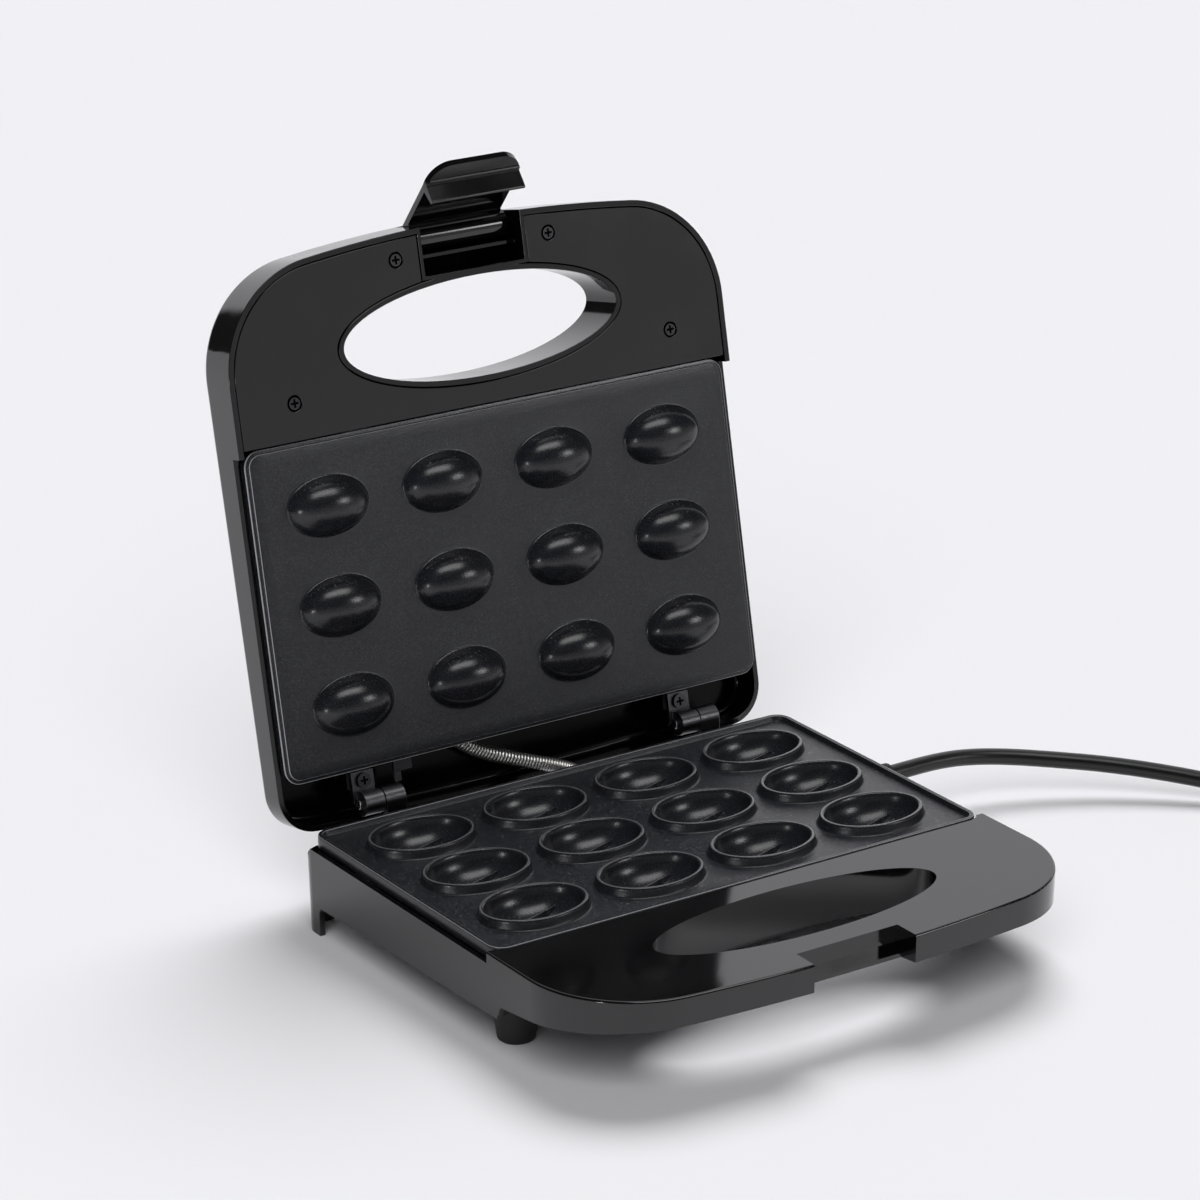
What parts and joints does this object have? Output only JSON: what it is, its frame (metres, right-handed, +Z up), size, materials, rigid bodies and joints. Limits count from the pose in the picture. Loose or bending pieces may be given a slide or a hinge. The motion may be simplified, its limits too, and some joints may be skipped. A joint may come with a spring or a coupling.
{
  "type": "electric nut cookie maker",
  "caption": "Hinged electric mould with nut-shaped bowls below and matching domes in the lid, split front handles with a finger opening, a swinging latch and a mains cord.",
  "frame": {"origin": "on the table, under the middle of the maker's box with its cord left out", "axes": "+X to the right along the hinge, +Y to the back where the hinge is, +Z up"},
  "size_m": [0.5231, 0.2836, 0.2787],
  "materials": {
    "black_shell": "glossy moulded heat-resistant plastic",
    "nonstick": "semi-gloss non-stick coating on cast aluminium",
    "element_steel": "satin, heat tinted",
    "sheet_steel": "satin sheet",
    "screw_black": "black zinc",
    "hinge_metal": "black baked enamel",
    "pin_steel": "ground",
    "spring_steel": "bright plated wire",
    "foot_rubber": "matt",
    "cord_sheath": "semi-matt sheath",
    "plug_plastic": "fine matt",
    "plug_pin_brass": "nickel plated",
    "inner_ceramic": "white, matt",
    "inner_wire": "silicone sleeve",
    "lamp_red": "clear tinted",
    "lamp_green": "clear tinted"
  },
  "bodies": {
    "base": {"base_shell": "black_shell", "base_bottom_cover": "black_shell", "handle_bottom_cover": "black_shell", "base_cover_screws": "screw_black", "front_feet": "foot_rubber", "lower_plate": "nonstick", "lower_plate_screws": "screw_black", "lower_heating_element": "element_steel", "lower_element_clamps": "sheet_steel", "lower_reflector": "sheet_steel", "thermostat": "inner_ceramic", "thermal_fuse": "sheet_steel", "terminal_block": "inner_ceramic", "base_wiring": "inner_wire", "left_hinge_base_leaf": "hinge_metal", "right_hinge_base_leaf": "hinge_metal", "left_hinge_pin": "pin_steel", "right_hinge_pin": "pin_steel", "base_hinge_screws": "screw_black", "conduit_spring": "spring_steel", "cord_gland": "plug_plastic", "cord_lead": "cord_sheath", "cord_coil": "cord_sheath", "cord_tail": "cord_sheath", "plug_body": "plug_plastic", "plug_pins": "plug_pin_brass"},
    "lid": {"lid_shell": "black_shell", "lid_inner_cover": "black_shell", "lid_cover_screws": "screw_black", "lid_hinge_screws": "screw_black", "upper_plate": "nonstick", "upper_heating_element": "element_steel", "upper_element_clamps": "sheet_steel", "upper_reflector": "sheet_steel", "left_hinge_lid_leaf": "hinge_metal", "right_hinge_lid_leaf": "hinge_metal", "power_lamp_lens": "lamp_red", "ready_lamp_lens": "lamp_green", "neon_lamps": "lamp_red", "latch_pin": "pin_steel"},
    "latch_arm": {"latch": "black_shell"}
  },
  "joints": [
    {"name": "lid_hinge", "type": "hinge", "parent": "base", "child": "lid", "pos_m": [0, 0.07544, 0.04015], "axis": [1, 0, 0], "range_deg": [0, 101.9], "deforming": ["conduit_spring"]},
    {"name": "latch_hinge", "type": "hinge", "parent": "lid", "child": "latch_arm", "pos_m": [0, 0.13174, 0.24499], "axis": [1, 0, 0], "range_deg": [-40, 40]}
  ]
}
